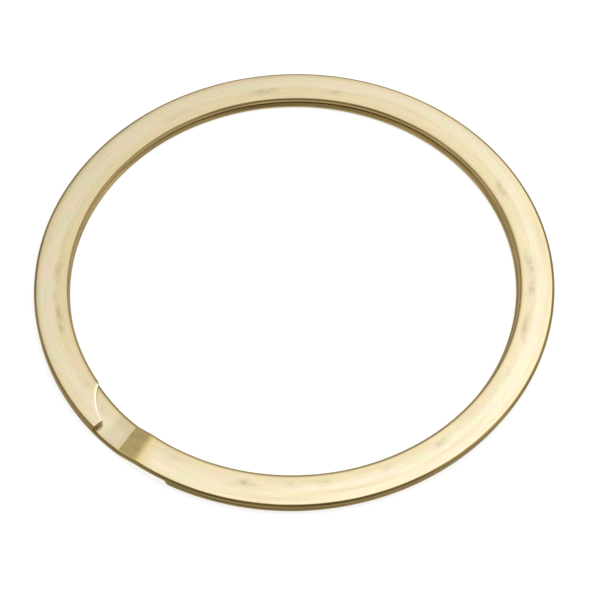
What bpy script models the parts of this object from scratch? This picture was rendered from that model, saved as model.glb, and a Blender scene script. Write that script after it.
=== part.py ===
"""Split key ring: one length of flat spring wire wound into two turns that lie on each other.

The wire starts at the lower free end, runs once round on the lower level, steps up through a
short crossover and runs once round again on the upper level to the notched upper free end.
Half a turn behind each free end flexes when that end is prised open, so the wire is divided
there into short stretches, one for each joint. Metres, +Z up; the origin is the centre of the
ring on its underside.
"""
import math

import bmesh
import bpy

MM = 0.001

# The wire and the ring it is wound into
OUTER_RADIUS = 25.0 * MM
WIRE_WIDTH = 3.4 * MM
WIRE_THICKNESS = 0.57 * MM
EDGE_RADIUS = 0.22 * MM
TURN_GAP = 0.08 * MM          # clearance between the two turns where they lie on each other
STRETCH_GAP = 0.06 * MM       # clearance between neighbouring stretches of the wire
LOWER_TIGHTER = 0.14 * MM     # the lower turn is wound a little tighter than the upper one
LOWER_SHIFT = 0.12 * MM       # and its centre lies a little to one side
LOWER_SHIFT_ANGLE = 200.0     # which side, in degrees from +X

# Places along the wire: degrees wound from +X, rising with the helix
LOWER_END = -120.5
CROSSOVER_START = 224.5
RAMP_START = 227.0
RAMP_END = 233.3
CROSSOVER_END = 235.8
UPPER_END = 580.3

# The flexing half turn behind each free end
LEAF_ANGLE = 180.0
LEAF_JOINTS = 6

# The cut that shapes both free ends, and the eased outer corner of the lower one
NOTCH_ANGLE = 9.3
NOTCH_DEPTH = 2.05 * MM
NOTCH_BOW = 0.31 * MM
EASE_ANGLE = 1.9
EASE_DEPTH = 0.4 * MM

# Fineness of the solids
TURN_STEP = 3.0               # degrees between the cross-sections of a level stretch
RAMP_STEP = 0.7               # degrees between them on the crossover
END_STEP = 0.1                # a short last step squares each cut end to the wire
CORNER_STEPS = 2              # flats on each rounded edge of the wire
OUTLINE_STEPS = 8             # points along a curved cut

INNER_RADIUS = OUTER_RADIUS - WIRE_WIDTH
MIDDLE_RADIUS = OUTER_RADIUS - WIRE_WIDTH / 2
LEVEL_RISE = WIRE_THICKNESS + TURN_GAP
RING_HEIGHT = LEVEL_RISE + WIRE_THICKNESS
PAST = 1.0 * MM               # how far a cutter reaches past what it cuts
PAST_ANGLE = 3.0              # the same, in degrees along the wire


def clear_scene():
    for obj in list(bpy.data.objects):
        bpy.data.objects.remove(obj, do_unlink=True)


def new_collection(name):
    collection = bpy.data.collections.new(name)
    bpy.context.scene.collection.children.link(collection)
    return collection


def yellow_metal(name):
    """Pale yellow passivated wire: a soft metallic sheen, a little rough."""
    material = bpy.data.materials.new(name + "_metal")
    material.use_nodes = True
    shader = material.node_tree.nodes["Principled BSDF"]
    shader.inputs["Base Color"].default_value = (0.80, 0.67, 0.44, 1.0)
    shader.inputs["Metallic"].default_value = 0.9
    shader.inputs["Roughness"].default_value = 0.38
    return material


def stepped_up(turn):
    """How far the wire has passed from the lower level (0) to the upper one (1)."""
    part = min(max((turn - RAMP_START) / (RAMP_END - RAMP_START), 0.0), 1.0)
    return part * part * (3 - 2 * part)


def wire_height(turn):
    """Height of the wire's middle: level, a smooth ramp, then level again."""
    return WIRE_THICKNESS / 2 + LEVEL_RISE * stepped_up(turn)


def lower_inset(turn):
    """How far the wire lies inside the upper turn's circle."""
    shift = LOWER_SHIFT * math.cos(math.radians(turn - LOWER_SHIFT_ANGLE))
    return (LOWER_TIGHTER - shift) * (1 - stepped_up(turn))


def plan_point(turn, across):
    """A point in plan: degrees along the wire, and distance across it from its inner edge."""
    radius = INNER_RADIUS + across - lower_inset(turn)
    return radius * math.cos(math.radians(turn)), radius * math.sin(math.radians(turn))


def wire_point(turn):
    x, y = plan_point(turn, WIRE_WIDTH / 2)
    return x, y, wire_height(turn)


def turns_between(start, end, step):
    """Evenly spaced places from start to end, with a short step at both ends."""
    count = max(1, round((end - start) / step))
    inner = [start + (end - start) * i / count for i in range(1, count)]
    return [start, start + END_STEP, *inner, end - END_STEP, end]


def closed_outline(name, points, collection):
    """A flat closed curve through the given plan points, kept as a guide."""
    curve = bpy.data.curves.new(name, "CURVE")
    curve.dimensions = "2D"
    spline = curve.splines.new("POLY")
    spline.points.add(len(points) - 1)
    for point, (x, y) in zip(spline.points, points):
        point.co = (x, y, 0.0, 1.0)
    spline.use_cyclic_u = True
    obj = bpy.data.objects.new(name, curve)
    obj.hide_render = True
    obj.display_type = "WIRE"
    collection.objects.link(obj)
    return obj


def wire_section(collection):
    """The wire's cross-section: a flat rectangle with rounded edges, width along X."""
    points = []
    corners = ((1, 1, 0), (-1, 1, 90), (-1, -1, 180), (1, -1, 270))
    for side, level, first in corners:
        x = side * (WIRE_WIDTH / 2 - EDGE_RADIUS)
        y = level * (WIRE_THICKNESS / 2 - EDGE_RADIUS)
        for i in range(CORNER_STEPS + 1):
            angle = math.radians(first + 90 * i / CORNER_STEPS)
            points.append((x + EDGE_RADIUS * math.cos(angle), y + EDGE_RADIUS * math.sin(angle)))
    points.reverse()          # clockwise, so that the swept faces point outwards
    return closed_outline("wire_section", points, collection)


def wire_stretch(name, start, end, section, collection, parent=None, pivot=None, step=TURN_STEP):
    """One stretch of the wire. Its origin is its pivot, the joint that it turns on."""
    half_gap = math.degrees(STRETCH_GAP / 2 / MIDDLE_RADIUS)
    start += half_gap if start > LOWER_END else 0.0
    end -= half_gap if end < UPPER_END else 0.0
    origin = wire_point(pivot) if pivot is not None else (0.0, 0.0, 0.0)

    curve = bpy.data.curves.new(name, "CURVE")
    curve.dimensions = "3D"
    curve.twist_mode = "Z_UP"
    curve.bevel_mode = "OBJECT"
    curve.bevel_object = section
    curve.use_fill_caps = True
    turns = turns_between(start, end, step)
    spline = curve.splines.new("POLY")
    spline.points.add(len(turns) - 1)
    for point, turn in zip(spline.points, turns):
        x, y, z = wire_point(turn)
        point.co = (x - origin[0], y - origin[1], z - origin[2], 1.0)
    curve.materials.append(yellow_metal(name))

    obj = bpy.data.objects.new(name, curve)
    collection.objects.link(obj)
    obj["origin"] = origin
    if parent is None:
        obj.location = origin
    else:
        obj.parent = parent
        obj.location = [a - b for a, b in zip(origin, parent["origin"])]
    return obj


def to_mesh(obj):
    """Swaps a curve object for a mesh object of the same shape, with its caps welded on."""
    bpy.context.view_layer.update()
    evaluated = obj.evaluated_get(bpy.context.evaluated_depsgraph_get())
    mesh = bpy.data.meshes.new_from_object(evaluated)
    work = bmesh.new()
    work.from_mesh(mesh)
    bmesh.ops.remove_doubles(work, verts=work.verts, dist=0.001 * MM)
    bmesh.ops.recalc_face_normals(work, faces=work.faces)
    work.to_mesh(mesh)
    work.free()

    name, collection = obj.name, obj.users_collection[0]
    solid = bpy.data.objects.new(name + "_solid", mesh)
    collection.objects.link(solid)
    solid.parent = obj.parent
    solid.matrix_world = obj.matrix_world
    solid.hide_render = obj.hide_render
    solid.display_type = obj.display_type
    if "origin" in obj:
        solid["origin"] = obj["origin"]
    for child in obj.children:
        child.parent = solid
    bpy.data.objects.remove(obj, do_unlink=True)
    solid.name = name
    return solid


def cutter(name, points, collection):
    """A prism over the given plan outline, tall enough to cut through both turns."""
    outline = closed_outline(name, points, collection)
    outline.data.fill_mode = "BOTH"
    outline.data.extrude = RING_HEIGHT / 2 + PAST
    outline.location.z = RING_HEIGHT / 2
    return to_mesh(outline)


def notch_outline(end, inward):
    """The scalloped notch in a free end's inner half. inward is the way back along the wire."""
    edge = []
    for i in range(OUTLINE_STEPS + 1):
        part = i / OUTLINE_STEPS
        across = NOTCH_DEPTH * (1 - part) + NOTCH_BOW * 4 * part * (1 - part)
        edge.append(plan_point(end + inward * NOTCH_ANGLE * part, across))
    inside = plan_point(end + inward * (NOTCH_ANGLE + 1.0), -PAST)
    past_inside = plan_point(end - inward * PAST_ANGLE, -PAST)
    past_end = plan_point(end - inward * PAST_ANGLE, NOTCH_DEPTH)
    return [*edge, inside, past_inside, past_end]


def eased_corner_outline(end, inward):
    """The outer corner of a free end, drawn in along a curve that leaves the edge smoothly."""
    edge = []
    for i in range(OUTLINE_STEPS + 1):
        part = i / OUTLINE_STEPS
        across = WIRE_WIDTH - EASE_DEPTH * (1 - part) ** 2
        edge.append(plan_point(end + inward * EASE_ANGLE * part, across))
    outside = plan_point(end + inward * EASE_ANGLE, WIRE_WIDTH + PAST)
    past_outside = plan_point(end - inward * PAST_ANGLE, WIRE_WIDTH + PAST)
    past_end = plan_point(end - inward * PAST_ANGLE, WIRE_WIDTH - EASE_DEPTH)
    return [*edge, outside, past_outside, past_end]


def cut(obj, tool):
    modifier = obj.modifiers.new("cut_" + tool.name, "BOOLEAN")
    modifier.operation = "DIFFERENCE"
    modifier.object = tool


def build_ring():
    ring = new_collection("split_key_ring")
    guides = new_collection("cutters_and_guides")
    section = wire_section(guides)
    leaf_step = LEAF_ANGLE / LEAF_JOINTS
    lower_joints = [LOWER_END + leaf_step * i for i in range(1, LEAF_JOINTS + 1)]
    upper_joints = [UPPER_END - leaf_step * i for i in range(1, LEAF_JOINTS + 1)]

    # The chain of stretches, each carried by the one before it, from the lower free end
    lower_tip = wire_stretch("lower_free_end", LOWER_END, lower_joints[0], section, ring)
    last = lower_tip
    for i in range(1, LEAF_JOINTS):
        start, end = lower_joints[i - 1], lower_joints[i]
        last = wire_stretch(f"lower_leaf_{i}", start, end, section, ring, last, start)

    start = lower_joints[-1]
    last = wire_stretch("lower_fixed_half", start, CROSSOVER_START, section, ring, last, start)
    last = wire_stretch("crossover", CROSSOVER_START, CROSSOVER_END, section, ring, last,
                        CROSSOVER_START, RAMP_STEP)
    last = wire_stretch("upper_fixed_half", CROSSOVER_END, upper_joints[-1], section, ring, last,
                        CROSSOVER_END)

    for i in range(LEAF_JOINTS - 1, 0, -1):
        start, end = upper_joints[i], upper_joints[i - 1]
        last = wire_stretch(f"upper_leaf_{i}", start, end, section, ring, last, start)
    upper_tip = wire_stretch("upper_free_end", upper_joints[0], UPPER_END, section, ring, last,
                             upper_joints[0])

    # Both free ends are notched by the same punch; the lower one also has an eased corner
    lower_tip = to_mesh(lower_tip)
    upper_tip = to_mesh(upper_tip)
    cut(upper_tip, cutter("upper_notch_cutter", notch_outline(UPPER_END, -1), guides))
    cut(lower_tip, cutter("lower_notch_cutter", notch_outline(LOWER_END, 1), guides))
    cut(lower_tip, cutter("lower_ease_cutter", eased_corner_outline(LOWER_END, 1), guides))
    for tip in (lower_tip, upper_tip):
        tip.data.shade_smooth()
        tip.data.set_sharp_from_angle(angle=math.radians(50))


clear_scene()
build_ring()
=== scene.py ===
"""Split key ring: the finished look of two turns of flat, yellow-passivated spring wire.

The wire's surface is built here as a fine sweep along the same path as the CAD solids. It is
made in stretches, one over each joint, and three stiff ones attached to the fixed half, so the
wire looks whole at rest.
Lengths are in millimetres unless a name or comment says otherwise.
"""
import math

import bmesh
import bpy
from mathutils import Matrix, Vector


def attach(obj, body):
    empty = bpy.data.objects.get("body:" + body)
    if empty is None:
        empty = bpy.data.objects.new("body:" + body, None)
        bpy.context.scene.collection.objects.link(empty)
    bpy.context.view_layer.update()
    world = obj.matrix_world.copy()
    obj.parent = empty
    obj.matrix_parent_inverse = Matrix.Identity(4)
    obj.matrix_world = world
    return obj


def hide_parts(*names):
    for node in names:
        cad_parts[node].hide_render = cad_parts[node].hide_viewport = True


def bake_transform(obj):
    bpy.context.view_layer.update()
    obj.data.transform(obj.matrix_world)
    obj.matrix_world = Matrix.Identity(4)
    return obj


MM = 0.001

# The wire and the ring, as in the CAD
OUTER_RADIUS = 24.99
WIRE_WIDTH = 3.39
WIRE_THICKNESS = 0.57
TURN_GAP = 0.08
LOWER_TIGHTER = 0.14          # how much smaller the lower turn's radius is
LOWER_SHIFT = 0.12            # how far its centre lies to one side
LOWER_SHIFT_ANGLE = 200.0     # which side, in degrees from +X
LOWER_END = -120.5            # places along the wire: degrees wound from +X, rising
CROSSOVER_START = 224.5
RAMP_START = 227.0
RAMP_END = 233.3
CROSSOVER_END = 235.8
UPPER_END = 580.3
NOTCH_ANGLE = 9.3             # length of the notch at each free end, in degrees
NOTCH_DEPTH = 2.05
NOTCH_BOW = 0.34              # how much deeper than straight its edge runs at the middle
EASE_ANGLE = 1.9              # the lower end's eased outer corner
EASE_DEPTH = 0.4
LEAF_ANGLE = 180.0            # how much of each turn flexes behind its free end
LEAF_JOINTS = 6

INNER_RADIUS = OUTER_RADIUS - WIRE_WIDTH
MIDDLE_RADIUS = OUTER_RADIUS - WIRE_WIDTH / 2
LEVEL_RISE = WIRE_THICKNESS + TURN_GAP
RING_HEIGHT = LEVEL_RISE + WIRE_THICKNESS

# Fine shape of the wire's surface
ROLLED_WIDTH = 0.34           # the rolled edges' rounding, across the wire
ROLLED_HEIGHT = 0.235         # and up it
CUT_ROUND = 0.07              # radius of the lip along a sheared edge
END_ROUND = 0.035             # radius round a sheared end face
ROLL_OVER = 0.055             # how far the top of a notch's edge is drawn down by the punch
ROLL_OVER_WIDTH = 0.30
CROWN = 0.014                 # how much lower the flats are at their edges than in the middle
TIP_ROUND = 0.24              # radius of the corner between a notch and its end face
NOTCH_CORNER = 0.30           # softness of the corner where a notch meets the inner edge
LEAD_IN_START = 220.2         # where the wire starts to lift, just past the upper end
LEAD_IN_REACH = 3.5           # degrees in which it reaches the lead-in's slope
LEAD_IN_SLOPE = 0.15          # as a share of the ramp's full slope
RAMP_SKEW = 0.36              # degrees that the ramp lags at the outer edge, per mm across
RAMP_BREAK = 0.14             # share of the ramp in which it reaches its full slope
RAMP_EASE = 0.56              # share of the ramp from which it levels out again
ROUND_STEPS = 7               # faces round each edge
SIDE_STEPS = 2                # faces on the flat of each edge
FLAT_STEPS = 14               # faces across each flat
FLAT_CROWDING = 1.5           # above 1, they are narrower towards the inner edge
TURN_STEP = 0.75              # degrees between cross-sections
RAMP_STEP = 0.12
NOTCH_STEP = 0.12
NOTCH_REACH = 1.3             # how much of each end has that step, in notch lengths
END_STEPS = 4                 # cross-sections in the rounding of an end face
NEARBY_ALONG = 0.02           # degrees to the points from which the wire's tilt is found
NEARBY_ACROSS = 0.01          # and how far across the wire they are
SHARP_ANGLE = 40.0            # a steeper edge than this is shaded sharp

# How far each side of a joint the bend's end points lie, in degrees along the wire
BEND_REACH = 12.0


def smooth(part):
    part = min(max(part, 0.0), 1.0)
    return part * part * (3 - 2 * part)


def smooth_max(a, b, softness):
    """The larger of two lengths, with a rounded change from one to the other."""
    part = min(max(0.5 + (a - b) / (2 * softness), 0.0), 1.0)
    return b + (a - b) * part + softness * part * (1 - part)


def ramp_part(turn):
    return (turn - RAMP_START) / (RAMP_END - RAMP_START)


def ramp_slope(turn):
    """The wire's slope as a share of its steepest: a faint lead-in, a crisp foot, a long ease."""
    part = ramp_part(turn)
    slope = LEAD_IN_SLOPE * smooth((turn - LEAD_IN_START) / LEAD_IN_REACH)
    slope += (1 - slope) * smooth(part / RAMP_BREAK)
    return slope * (1 - smooth((part - RAMP_EASE) / (1 - RAMP_EASE)))


def climb_table(count=400):
    """Shares of the rise reached at evenly spaced places from the lead-in to the ramp's end."""
    step = (RAMP_END - LEAD_IN_START) / count
    heights = [0.0]
    for i in range(count):
        heights.append(heights[-1] + ramp_slope(LEAD_IN_START + (i + 0.5) * step))
    return [height / heights[-1] for height in heights]


CLIMB = climb_table()


def wire_height(turn):
    """Height of the wire's middle: level, the climb of the crossover, then level again."""
    part = (turn - LEAD_IN_START) / (RAMP_END - LEAD_IN_START)
    place = min(max(part, 0.0), 1.0) * (len(CLIMB) - 1)
    first = min(int(place), len(CLIMB) - 2)
    low, high = CLIMB[first], CLIMB[first + 1]
    return WIRE_THICKNESS / 2 + LEVEL_RISE * (low + (high - low) * (place - first))


def lower_inset(turn):
    """How far the wire lies inside the upper turn's circle."""
    shift = LOWER_SHIFT * math.cos(math.radians(turn - LOWER_SHIFT_ANGLE))
    return (LOWER_TIGHTER - shift) * (1 - smooth(ramp_part(turn)))


def skewed(turn, across):
    """The place along the wire whose height a point has, as the ramp lies askew across it."""
    return turn - RAMP_SKEW * (across - WIRE_WIDTH / 2)


def wire_line(turn, across):
    """A point of the wire's middle layer, at a distance across it from its full inner edge."""
    angle = math.radians(turn)
    radius = INNER_RADIUS + across - lower_inset(turn)
    height = wire_height(skewed(turn, across))
    return Vector((radius * math.cos(angle), radius * math.sin(angle), height))


def wire_point(turn, across, height):
    """A point of the wire, at a height above its middle layer."""
    outward = wire_line(turn, across + NEARBY_ACROSS) - wire_line(turn, across - NEARBY_ACROSS)
    ahead = wire_line(turn + NEARBY_ALONG, across) - wire_line(turn - NEARBY_ALONG, across)
    upward = outward.cross(ahead).normalized()
    return wire_line(turn, across) + upward * height


def notch_edge(turn, end, inward):
    """How far across the wire its inner edge is cut back by the notch at a free end: a parabola,
    and past the notch's mouth its tangent, so that it meets the inner edge in a soft corner."""
    part = (turn - end) * inward / NOTCH_ANGLE
    bow = 4 * NOTCH_BOW
    if part > 1:
        line = -(NOTCH_DEPTH + bow) * (part - 1)
    else:
        line = (NOTCH_DEPTH + bow * part) * (1 - part)
    return smooth_max(line, 0.0, NOTCH_CORNER / 2)


def tip_corner(turn, end, inward):
    """How much further the notch cuts back to round its corner with the end face."""
    distance = math.radians((turn - end) * inward) * MIDDLE_RADIUS
    part = max(1 - distance / TIP_ROUND, 0.0)
    return TIP_ROUND * (1 - math.sqrt(1 - part * part))


def wire_edges(turn):
    """Distances across the wire, from its full inner edge, to its inner and outer edges."""
    inner, outer = 0.0, WIRE_WIDTH
    if turn > UPPER_END - 2 * NOTCH_ANGLE:
        inner = notch_edge(turn, UPPER_END, -1) + tip_corner(turn, UPPER_END, -1)
    if turn < LOWER_END + 2 * NOTCH_ANGLE:
        inner = notch_edge(turn, LOWER_END, 1) + tip_corner(turn, LOWER_END, 1)
        part = min((turn - LOWER_END) / EASE_ANGLE, 1.0)
        outer -= EASE_DEPTH * (1 - part) ** 2
    return inner, outer


def round_section(turn, inset):
    """Points round the wire's cross-section, each with its distance across the wire, its height
    above the middle, and how far it is on a side face (0 on the flats, 1 on the sides)."""
    inner, outer = wire_edges(turn)
    rolled_left = max(1 - inner / ROLLED_WIDTH, 0.0) ** 2
    inner_width = max(CUT_ROUND, ROLLED_WIDTH * rolled_left) - inset
    inner_height = max(CUT_ROUND, ROLLED_HEIGHT * rolled_left) - inset
    outer_width = ROLLED_WIDTH - inset
    outer_height = ROLLED_HEIGHT - inset
    inner, outer = inner + inset, outer - inset
    half = WIRE_THICKNESS / 2 - inset

    upper = []
    for i in range(ROUND_STEPS + 1):
        angle = math.radians(90 * i / ROUND_STEPS)
        x = outer - outer_width * (1 - math.cos(angle))
        upper.append((x, half - outer_height * (1 - math.sin(angle)), math.cos(angle)))
    for i in range(1, FLAT_STEPS):
        part = (1 - i / FLAT_STEPS) ** FLAT_CROWDING
        x = (outer - outer_width) * part + (inner + inner_width) * (1 - part)
        upper.append((x, half, 0.0))
    for i in range(ROUND_STEPS + 1):
        angle = math.radians(90 * (1 - i / ROUND_STEPS))
        x = inner + inner_width * (1 - math.cos(angle))
        upper.append((x, half - inner_height * (1 - math.sin(angle)), math.cos(angle)))

    middle = WIRE_WIDTH / 2
    upper = [(x, z - CROWN * ((x - middle) / middle) ** 2, side) for x, z, side in upper]
    lower = [(x, -z, side) for x, z, side in reversed(upper)]
    roll_over = ROLL_OVER * smooth(inner / ROLLED_WIDTH)
    upper = [(x, z - roll_over * near_edge(x - inner) ** 2, side) for x, z, side in upper]
    return side_run(upper, lower) + side_run(lower, upper)


def near_edge(distance):
    return max(1 - distance / ROLL_OVER_WIDTH, 0.0)


def side_run(first, second):
    """One half of the section with the points of the side face that follow it."""
    x_a, z_a, _ = first[-1]
    x_b, z_b, _ = second[0]
    side = []
    for i in range(1, SIDE_STEPS):
        part = i / SIDE_STEPS
        side.append((x_a + (x_b - x_a) * part, z_a + (z_b - z_a) * part, 1.0))
    return first + side


def stations(start, end):
    """Places of the cross-sections from start to end, closer together where the wire changes.
    Each is (turn, inset), and a sheared end is drawn in over the rounding of its face."""
    reach = NOTCH_REACH * NOTCH_ANGLE
    places = [start]
    while places[-1] < end - 1e-6:
        turn = places[-1]
        in_notch = turn < LOWER_END + reach or turn > UPPER_END - reach
        in_ramp = LEAD_IN_START - 1 <= turn <= RAMP_END + 1
        step = NOTCH_STEP if in_notch else RAMP_STEP if in_ramp else TURN_STEP
        places.append(min(turn + step, end))
    if len(places) > 2 and places[-1] - places[-2] < 0.4 * (places[-2] - places[-3]):
        places.pop(-2)
    found = [(turn, 0.0) for turn in places]
    if start == LOWER_END:
        found[:1] = end_rounding(LOWER_END, 1)
    if end == UPPER_END:
        found[-1:] = reversed(end_rounding(UPPER_END, -1))
    return found


def end_rounding(end, inward):
    """Cross-sections that round the edge of a sheared end face, from the face inwards."""
    found = []
    for i in range(END_STEPS + 1):
        angle = math.radians(90 * i / END_STEPS)
        depth = END_ROUND * (1 - math.cos(angle))
        turn = end + inward * math.degrees(depth / MIDDLE_RADIUS)
        found.append((turn, END_ROUND * (1 - math.sin(angle))))
    return found


def wire_piece(name, start, end):
    """A closed mesh of the wire from start to end, with what its material reads: its place
    in the straightened wire and on the ramp, and how far it is on a side, an end or a notch."""
    work = bmesh.new()
    space = work.verts.layers.float_vector.new("wire_space")
    side_layer = work.verts.layers.float.new("side_face")
    end_layer = work.verts.layers.float.new("end_face")
    notch_layer = work.verts.layers.float.new("notch_face")
    lip_layer = work.verts.layers.float.new("notch_lip_highlight")
    ramp_layer = work.verts.layers.float.new("ramp_place")
    rings = []
    for turn, inset in stations(start, end):
        cut_edge = wire_edges(turn)[0]
        notch = smooth(cut_edge / ROLLED_WIDTH)
        ring = []
        for across, height, side in round_section(turn, inset):
            vert = work.verts.new(wire_point(turn, across, height) * MM)
            vert[space] = (math.radians(turn) * MIDDLE_RADIUS, across, height)
            vert[side_layer] = side
            # The end-face mask also places the painted shade of the end faces
            vert[end_layer] = inset / END_ROUND
            # Mask of the notch walls, whose dark tone is partly painted shade
            vert[notch_layer] = notch * side if across < WIRE_WIDTH / 2 else 0.0
            # Mask of the painted highlight along the notch's top edge
            vert[lip_layer] = notch * (1 - side) * near_edge(across - cut_edge) ** 2
            # The place on the ramp also sets its painted shade and the painted highlight at its
            # foot
            vert[ramp_layer] = ramp_part(skewed(turn, across))
            ring.append(vert)
        rings.append(ring)
    count = len(rings[0])
    for back, front in zip(rings, rings[1:]):
        for i in range(count):
            j = (i + 1) % count
            work.faces.new((back[i], back[j], front[j], front[i]))
    work.faces.new(list(reversed(rings[0])))
    work.faces.new(rings[-1])
    bmesh.ops.recalc_face_normals(work, faces=work.faces)

    mesh = bpy.data.meshes.new(name)
    work.to_mesh(mesh)
    work.free()
    mesh.shade_smooth()
    mesh.set_sharp_from_angle(angle=math.radians(SHARP_ANGLE))
    obj = bpy.data.objects.new(name, mesh)
    bpy.context.scene.collection.objects.link(obj)
    return obj


def on_wire(turn):
    return wire_line(turn, WIRE_WIDTH / 2) * MM


def stiff_piece(node, start, end, material):
    piece = wire_piece(node + "_wire", start, end)
    piece.data.materials.append(material)
    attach(piece, "fixed_half")
    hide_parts(node)


def flexing_piece(node, joint_turn, start, end, material):
    """A stretch of wire over one joint, in place of the CAD part there."""
    piece = wire_piece(node + "_wire", start, end)
    piece.data.materials.append(material)
    bend_start = on_wire(joint_turn - BEND_REACH)
    bend_end = on_wire(joint_turn + BEND_REACH)
    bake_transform(piece)
    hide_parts(node)


def build_wire(material):
    leaf = LEAF_ANGLE / LEAF_JOINTS
    lower = ["lower_free_end"] + [f"lower_leaf_{i}" for i in range(1, LEAF_JOINTS)]
    upper = ["upper_free_end"] + [f"upper_leaf_{i}" for i in range(1, LEAF_JOINTS)]
    for i in range(LEAF_JOINTS):
        joint = LOWER_END + leaf * (i + 1)
        start = LOWER_END if i == 0 else joint - leaf / 2
        flexing_piece(lower[i], joint, start, joint + leaf / 2, material)
    for i in range(LEAF_JOINTS):
        joint = UPPER_END - leaf * (i + 1)
        end = UPPER_END if i == 0 else joint + leaf / 2
        flexing_piece(upper[i], joint, joint - leaf / 2, end, material)
    stiff_start = LOWER_END + LEAF_ANGLE + leaf / 2
    stiff_end = UPPER_END - LEAF_ANGLE - leaf / 2
    stiff_piece("lower_fixed_half", stiff_start, CROSSOVER_START, material)
    stiff_piece("crossover", CROSSOVER_START, CROSSOVER_END, material)
    stiff_piece("upper_fixed_half", CROSSOVER_END, stiff_end, material)


class Nodes:
    """Short calls for building a node tree. Inputs are values or other nodes' outputs."""

    def __init__(self, tree):
        self.tree = tree

    def feed(self, socket, value):
        if isinstance(value, bpy.types.NodeSocket):
            self.tree.links.new(value, socket)
        else:
            socket.default_value = value

    def add(self, kind, **inputs):
        node = self.tree.nodes.new("ShaderNode" + kind)
        for name, value in inputs.items():
            self.feed(node.inputs[name.replace("_", " ")], value)
        return node

    def math(self, operation, *values):
        node = self.tree.nodes.new("ShaderNodeMath")
        node.operation = operation
        for socket, value in zip(node.inputs, values):
            self.feed(socket, value)
        return node.outputs[0]

    def stretched(self, vector, scale):
        node = self.tree.nodes.new("ShaderNodeVectorMath")
        node.operation = "MULTIPLY"
        self.feed(node.inputs[0], vector)
        node.inputs[1].default_value = scale
        return node.outputs[0]

    def nearness(self, direction, centre):
        node = self.tree.nodes.new("ShaderNodeVectorMath")
        node.operation = "DOT_PRODUCT"
        self.feed(node.inputs[0], direction)
        node.inputs[1].default_value = Vector(centre).normalized()
        return node.outputs["Value"]

    def distance(self, value, centre):
        return self.math("ABSOLUTE", self.math("SUBTRACT", value, centre))

    def noise(self, vector, scale, detail):
        node = self.add("TexNoise", Vector=vector, Scale=scale, Detail=detail)
        return node.outputs["Fac"]

    def drawn_noise(self, space, along, scale, detail):
        """Noise drawn out lengthwise: its marks are 1 / along times as long as they are wide."""
        return self.noise(self.stretched(space, (along, 1.0, 1.0)), scale, detail)

    def ranged(self, value, low, high, to_low=0.0, to_high=1.0):
        node = self.tree.nodes.new("ShaderNodeMapRange")
        node.interpolation_type = "SMOOTHSTEP"
        for name, given in (("Value", value), ("From Min", low), ("From Max", high),
                            ("To Min", to_low), ("To Max", to_high)):
            self.feed(node.inputs[name], given)
        return node.outputs["Result"]

    def mix(self, share, first, second, blend="MIX"):
        node = self.tree.nodes.new("ShaderNodeMix")
        node.data_type = "RGBA"
        node.blend_type = blend
        self.feed(node.inputs["Factor"], share)
        self.feed(node.inputs["A"], first)
        self.feed(node.inputs["B"], second)
        return node.outputs["Result"]

    def ramp(self, value, stops):
        node = self.tree.nodes.new("ShaderNodeValToRGB")
        self.feed(node.inputs["Fac"], value)
        elements = node.color_ramp.elements
        while len(elements) < len(stops):
            elements.new(0.5)
        for element, (place, colour) in zip(elements, stops):
            element.position = place
            element.color = colour
        return node.outputs["Color"]

    def attribute(self, name):
        node = self.tree.nodes.new("ShaderNodeAttribute")
        node.attribute_name = name
        return node


# Colours of the passivated wire (linear)
CREAM = (0.92, 0.825, 0.625, 1)
BLUSH = (0.975, 0.79, 0.655, 1)
LIME = (0.855, 0.85, 0.58, 1)
# Straw: the wire's own bands, and also painted shade towards the flats' edges and a painted
# highlight at the ramp's foot
STRAW = (0.845, 0.715, 0.445, 1)
OLIVE = (0.40, 0.34, 0.17, 1)
# Side browns: partly the wire's own tone, partly painted shade; the outer ones are darker as
# painted shade
INNER_BROWN = (0.44, 0.32, 0.145, 1)
INNER_OLIVE = (0.29, 0.22, 0.095, 1)
OUTER_BROWN = (0.30, 0.215, 0.08, 1)
OUTER_OLIVE = (0.19, 0.14, 0.05, 1)
# Painted shade: the sheared end faces are coloured dark brown
END_SHADE = (0.29, 0.205, 0.09, 1)
# Notch walls: sheared metal's tone, kept darker partly as painted shade beside the notch
SHEARED_AND_SHADE = (0.56, 0.45, 0.26, 1)
# Painted highlight: a near-white line along the notch's top edge
LIP_HIGHLIGHT = (1.0, 0.95, 0.80, 1)
# Painted shade on the crossover's ramp
RAMP_SHADE_TONE = (0.84, 0.665, 0.325, 1)
# Painted shade beside the inner edge, dimming its highlight
INNER_EDGE_SHADE = (0.66, 0.55, 0.36, 1)

# Its finish
PALE_MIDDLE = 1.95            # mm from the inner edge to the palest line of the flats
TRACK_PLACE = 1.62            # how far out the worn track lies, less its wander
TRACK_WANDER = 0.9
FOOT_HIGHLIGHT = -0.07              # place of the painted highlight strip just before the ramp's foot, in lengths of the ramp
SIDE_WOBBLE = 0.12            # how ragged the line is between the flats and the sides
ROUGHNESS = (0.23, 0.34)      # of the flats, from polished to dull
SIDE_ROUGHER = 0.08
END_ROUGHER = 0.15
BUMP_STRENGTH = 0.35
BUMP_DEPTH = 0.012
PIT_SHARE = 0.5               # depth of the pits and the break marks, as shares of the lines'
SHEAR_SHARE = 0.2


def cloudy(nodes, space):
    """Cream with soft pink, green and straw clouds, and how the flecks in it lie."""
    clouds = nodes.drawn_noise(space, along=0.55, scale=0.85, detail=4.0)
    tone = nodes.ramp(clouds, [(0.38, LIME), (0.47, CREAM), (0.53, CREAM), (0.62, BLUSH)])
    flecks = nodes.drawn_noise(space, along=0.75, scale=2.2, detail=3.0)
    fleck_tone = nodes.ramp(flecks, [(0.40, LIME), (0.50, CREAM), (0.60, BLUSH)])
    tone = nodes.mix(0.5, tone, fleck_tone)
    bands = nodes.drawn_noise(space, along=0.05, scale=1.15, detail=2.0)
    tone = nodes.mix(nodes.ranged(bands, 0.50, 0.70, 0.0, 0.6), tone, STRAW)
    return tone, flecks


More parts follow.
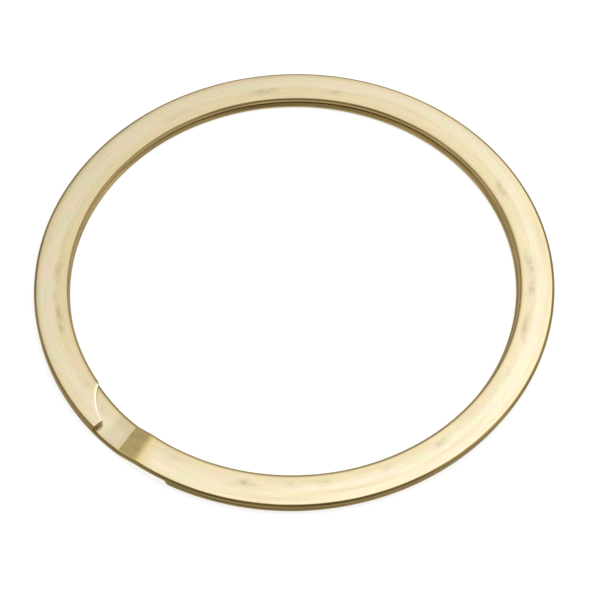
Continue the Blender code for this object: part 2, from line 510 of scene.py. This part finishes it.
def edge_shade(nodes, tone, across):
    """Painted shade: the flats turn to darker straw towards both edges, and to honey beside the
    inner one, which dims the highlight there.
    """
    off_middle = nodes.distance(across, PALE_MIDDLE)
    tone = nodes.mix(nodes.ranged(off_middle, 0.45, 1.5, 0.0, 0.75), tone, STRAW)
    return nodes.mix(nodes.ranged(across, 0.25, 0.55, 0.6, 0.0), tone, INNER_EDGE_SHADE)


def drawn_marks(nodes, tone, space):
    """Lengthwise streaks and fine lines from drawing the wire, and a little grain."""
    streaks = nodes.drawn_noise(space, along=0.035, scale=5.0, detail=3.0)
    tone = nodes.mix(nodes.ranged(streaks, 0.55, 0.76, 0.0, 0.13), tone, OLIVE)
    lines = nodes.drawn_noise(space, along=0.008, scale=4.2, detail=1.0)
    tone = nodes.mix(nodes.ranged(lines, 0.60, 0.72, 0.0, 0.06), tone, OLIVE)
    grain = nodes.drawn_noise(space, along=0.5, scale=7.0, detail=2.0)
    return nodes.mix(nodes.ranged(grain, 0.54, 0.78, 0.0, 0.18), tone, OLIVE)


def worn_track(nodes, tone, space, across, flecks):
    """A faint worn track that wanders about a third of the way out, darker in patches."""
    wander = nodes.noise(nodes.stretched(space, (1.0, 0.0, 0.0)), scale=0.16, detail=2.0)
    place = nodes.math("ADD", across, nodes.math("MULTIPLY", wander, TRACK_WANDER))
    track = nodes.ranged(nodes.distance(place, TRACK_PLACE), 0.05, 0.60, 1.0, 0.0)
    patches = nodes.noise(nodes.stretched(space, (0.8, 0.9, 0.0)), scale=0.32, detail=5.0)
    worn = nodes.math("MULTIPLY", track, nodes.ranged(patches, 0.50, 0.70, 0.05, 0.55))
    ragged = nodes.ranged(flecks, 0.35, 0.65, 0.45, 1.0)
    return nodes.mix(nodes.math("MULTIPLY", worn, ragged), tone, OLIVE)


def ramp_shade_and_highlight(nodes, tone, ramp_place):
    """Painted shade: the crossover's ramp is darkened to straw, with a painted highlight strip
    just before its foot.
    """
    foot = nodes.ranged(ramp_place, 0.0, 0.12, 0.0, 0.9)
    ramp_shade = nodes.math("MULTIPLY", foot, nodes.ranged(ramp_place, 0.75, 1.5, 1.0, 0.0))
    tone = nodes.mix(ramp_shade, tone, RAMP_SHADE_TONE)
    off_highlight = nodes.distance(ramp_place, FOOT_HIGHLIGHT)
    return nodes.mix(nodes.ranged(off_highlight, 0.02, 0.09, 0.7, 0.0), tone, STRAW)


def flat_colour(nodes, space, ramp_place):
    across = nodes.add("SeparateXYZ", Vector=space).outputs["Y"]
    tone, flecks = cloudy(nodes, space)
    # Painted shade towards the flats' edges
    tone = edge_shade(nodes, tone, across)
    tone = drawn_marks(nodes, tone, space)
    tone = worn_track(nodes, tone, space, across, flecks)
    # Painted shade on the ramp and a painted highlight at its foot
    return ramp_shade_and_highlight(nodes, tone, ramp_place)


def side_tone_and_shade(nodes, space):
    """The rolled sides: brown with long streaks, darker on the ring's outside; both the brown and
    the split are partly the wire's own tone and partly painted shade.
    """
    streaks = nodes.noise(nodes.stretched(space, (0.06, 1.0, 2.5)), scale=2.4, detail=3.0)
    streaks = nodes.ranged(streaks, 0.35, 0.65)
    inside = nodes.mix(streaks, INNER_OLIVE, INNER_BROWN)
    outside = nodes.mix(streaks, OUTER_OLIVE, OUTER_BROWN)
    across = nodes.add("SeparateXYZ", Vector=space).outputs["Y"]
    return nodes.mix(nodes.ranged(across, 1.0, 2.4), inside, outside)


def surface_height(nodes, space, end):
    """Drawn lines and pits, and the coarser break marks of a sheared end face."""
    drawn = nodes.drawn_noise(space, along=0.03, scale=9.0, detail=3.0)
    pits = nodes.noise(space, scale=6.0, detail=3.0)
    height = nodes.math("ADD", drawn, nodes.math("MULTIPLY", pits, PIT_SHARE))
    sheared = nodes.noise(nodes.stretched(space, (1.0, 1.0, 0.15)), scale=9.0, detail=2.0)
    on_end = nodes.math("MULTIPLY", end, SHEAR_SHARE)
    return nodes.math("ADD", height, nodes.math("MULTIPLY", sheared, on_end))


def wire_material():
    """Yellow-passivated spring wire: satin, drawn lengthwise, darker on its rolled sides partly
    as painted shade, and with painted shade and highlights at its edges, notches, ends and ramp.
    """
    material = bpy.data.materials.new("yellow_passivated_wire")
    material.use_nodes = True
    nodes = Nodes(material.node_tree)
    shader = material.node_tree.nodes["Principled BSDF"]
    space = nodes.attribute("wire_space").outputs["Vector"]
    side = nodes.attribute("side_face").outputs["Fac"]
    end = nodes.attribute("end_face").outputs["Fac"]
    notch = nodes.attribute("notch_face").outputs["Fac"]
    lip = nodes.attribute("notch_lip_highlight").outputs["Fac"]
    ramp_place = nodes.attribute("ramp_place").outputs["Fac"]

    wobble = nodes.drawn_noise(space, along=0.2, scale=3.0, detail=2.0)
    ragged_side = nodes.math("ADD", side, nodes.math("MULTIPLY", wobble, SIDE_WOBBLE))
    on_side = nodes.ranged(ragged_side, 0.20, 0.50)
    flat = flat_colour(nodes, space, ramp_place)
    # The sides' brown, partly painted shade
    colour = nodes.mix(on_side, flat, side_tone_and_shade(nodes, space))
    # Notch walls' tone, partly painted shade
    colour = nodes.mix(nodes.ranged(notch, 0.35, 0.75), colour, SHEARED_AND_SHADE)
    # Painted highlight along the notch's top edge
    colour = nodes.mix(nodes.ranged(lip, 0.10, 0.40), colour, LIP_HIGHLIGHT)
    # Painted shade on the end faces
    colour = nodes.mix(nodes.ranged(end, 0.02, 0.45), colour, END_SHADE)
    nodes.feed(shader.inputs["Base Color"], colour)

    polish = nodes.drawn_noise(space, along=0.15, scale=1.6, detail=3.0)
    roughness = nodes.ranged(polish, 0.3, 0.7, *ROUGHNESS)
    roughness = nodes.math("ADD", roughness, nodes.math("MULTIPLY", on_side, SIDE_ROUGHER))
    roughness = nodes.math("ADD", roughness, nodes.math("MULTIPLY", end, END_ROUGHER))
    nodes.feed(shader.inputs["Roughness"], roughness)
    shader.inputs["Metallic"].default_value = 1.0

    height = surface_height(nodes, space, end)
    bump = nodes.add("Bump", Height=height, Strength=BUMP_STRENGTH, Distance=BUMP_DEPTH * MM)
    nodes.feed(shader.inputs["Normal"], bump.outputs["Normal"])
    return material


# Studio
FLOOR_SIZE = 4.0              # metres
FLOOR_WHITE = (0.30, 0.30, 0.30, 1)
FLOOR_GLOW = 0.78             # the floor is a pale light table
SKY_AXIS = (0.45, -0.03, 0.89)  # where the studio ceiling is brightest
SKY_STRENGTH = 1.2
SKY_STOPS = [                 # nearness to that axis, and the light from there
    (0.00, (0.800, 0.780, 0.700, 1)),
    (0.35, (0.640, 0.600, 0.490, 1)),
    (0.65, (0.585, 0.560, 0.470, 1)),
    (0.78, (1.060, 1.060, 1.040, 1)),
    (1.00, (1.200, 1.200, 1.190, 1)),
]
DARK_SCREENS = [              # direction, degrees of full and of no effect, and light left
    ((0.00, -0.64, 0.77), 20, 48, 0.30),
    ((-0.37, 0.76, 0.53), 8, 24, 0.45),
]
PALE_BACKDROP = (0.80, 0.80, 0.80, 1)
SOFTBOX_SIZE = 0.30           # metres, as its place is
SOFTBOX_PLACE = (0.10, 0.0, 0.60)
SOFTBOX_WATTS = 0.9


def floor():
    mesh = bpy.data.meshes.new("floor")
    half = FLOOR_SIZE / 2
    corners = [(-half, -half, 0), (half, -half, 0), (half, half, 0), (-half, half, 0)]
    mesh.from_pydata(corners, [], [(0, 1, 2, 3)])
    material = bpy.data.materials.new("pale_floor")
    material.use_nodes = True
    shader = material.node_tree.nodes["Principled BSDF"]
    shader.inputs["Base Color"].default_value = FLOOR_WHITE
    shader.inputs["Roughness"].default_value = 1.0
    shader.inputs["Specular IOR Level"].default_value = 0.0
    shader.inputs["Emission Color"].default_value = (1, 1, 1, 1)
    shader.inputs["Emission Strength"].default_value = FLOOR_GLOW
    mesh.materials.append(material)
    obj = bpy.data.objects.new("floor", mesh)
    bpy.context.scene.collection.objects.link(obj)


def studio_light():
    """A dome that is brightest overhead and to the right, with dark screens before it."""
    world = bpy.data.worlds.new("studio")
    world.use_nodes = True
    bpy.context.scene.world = world
    nodes = Nodes(world.node_tree)
    background = world.node_tree.nodes["Background"]
    direction = nodes.add("TexCoord").outputs["Generated"]
    colour = nodes.ramp(nodes.nearness(direction, SKY_AXIS), SKY_STOPS)
    for centre, full, none, light_left in DARK_SCREENS:
        edges = math.cos(math.radians(none)), math.cos(math.radians(full))
        light = nodes.ranged(nodes.nearness(direction, centre), *edges, 1.0, light_left)
        colour = nodes.mix(1.0, colour, light, "MULTIPLY")
    seen = nodes.add("LightPath").outputs["Is Camera Ray"]
    colour = nodes.mix(seen, colour, PALE_BACKDROP)
    nodes.feed(background.inputs["Color"], colour)
    background.inputs["Strength"].default_value = SKY_STRENGTH


def softbox():
    """A lamp that lights the floor round the ring and doesn't show in the metal."""
    lamp = bpy.data.lights.new("overhead_softbox", "AREA")
    lamp.shape = "DISK"
    lamp.size = SOFTBOX_SIZE
    lamp.energy = SOFTBOX_WATTS
    obj = bpy.data.objects.new("overhead_softbox", lamp)
    obj.location = SOFTBOX_PLACE
    obj.rotation_euler = (-obj.location).to_track_quat("-Z", "Y").to_euler()
    obj.visible_glossy = False
    bpy.context.scene.collection.objects.link(obj)


# The photograph's view
VIEW_ELEVATION = 56.21        # degrees
VIEW_DISTANCE = 244.1
VIEW_ROLL = -1.455            # degrees
AIM_BELOW = 0.392             # degrees that the view's centre lies below the ring's centre
AIM_RIGHT = 0.025
VIEW_LENS = 155.05            # millimetres, on a 36 mm sensor


def camera():
    data = bpy.data.cameras.new("camera")
    data.lens = VIEW_LENS
    data.sensor_width = 36.0
    data.clip_start = 0.01
    data.clip_end = 20.0
    obj = bpy.data.objects.new("camera", data)
    elevation = math.radians(VIEW_ELEVATION)
    away = Vector((0, -math.cos(elevation), math.sin(elevation))) * VIEW_DISTANCE
    turn = Matrix.Rotation(math.pi / 2 - elevation, 4, "X")
    roll = Matrix.Rotation(math.radians(VIEW_ROLL), 4, "Z")
    down = Matrix.Rotation(-math.radians(AIM_BELOW), 4, "X")
    right = Matrix.Rotation(-math.radians(AIM_RIGHT), 4, "Y")
    place = Matrix.Translation((Vector((0, 0, RING_HEIGHT)) + away) * MM)
    obj.matrix_world = place @ turn @ roll @ down @ right
    bpy.context.scene.collection.objects.link(obj)
    bpy.context.scene.camera = obj


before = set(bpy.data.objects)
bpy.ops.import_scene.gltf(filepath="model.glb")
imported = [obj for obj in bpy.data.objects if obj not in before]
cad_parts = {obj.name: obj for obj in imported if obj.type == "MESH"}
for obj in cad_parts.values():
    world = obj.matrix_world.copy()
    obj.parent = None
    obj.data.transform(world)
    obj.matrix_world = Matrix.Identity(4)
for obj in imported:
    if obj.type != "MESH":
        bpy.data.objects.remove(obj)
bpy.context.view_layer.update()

camera()
floor()
studio_light()
softbox()
build_wire(wire_material())
bpy.context.scene.view_settings.view_transform = "Standard"
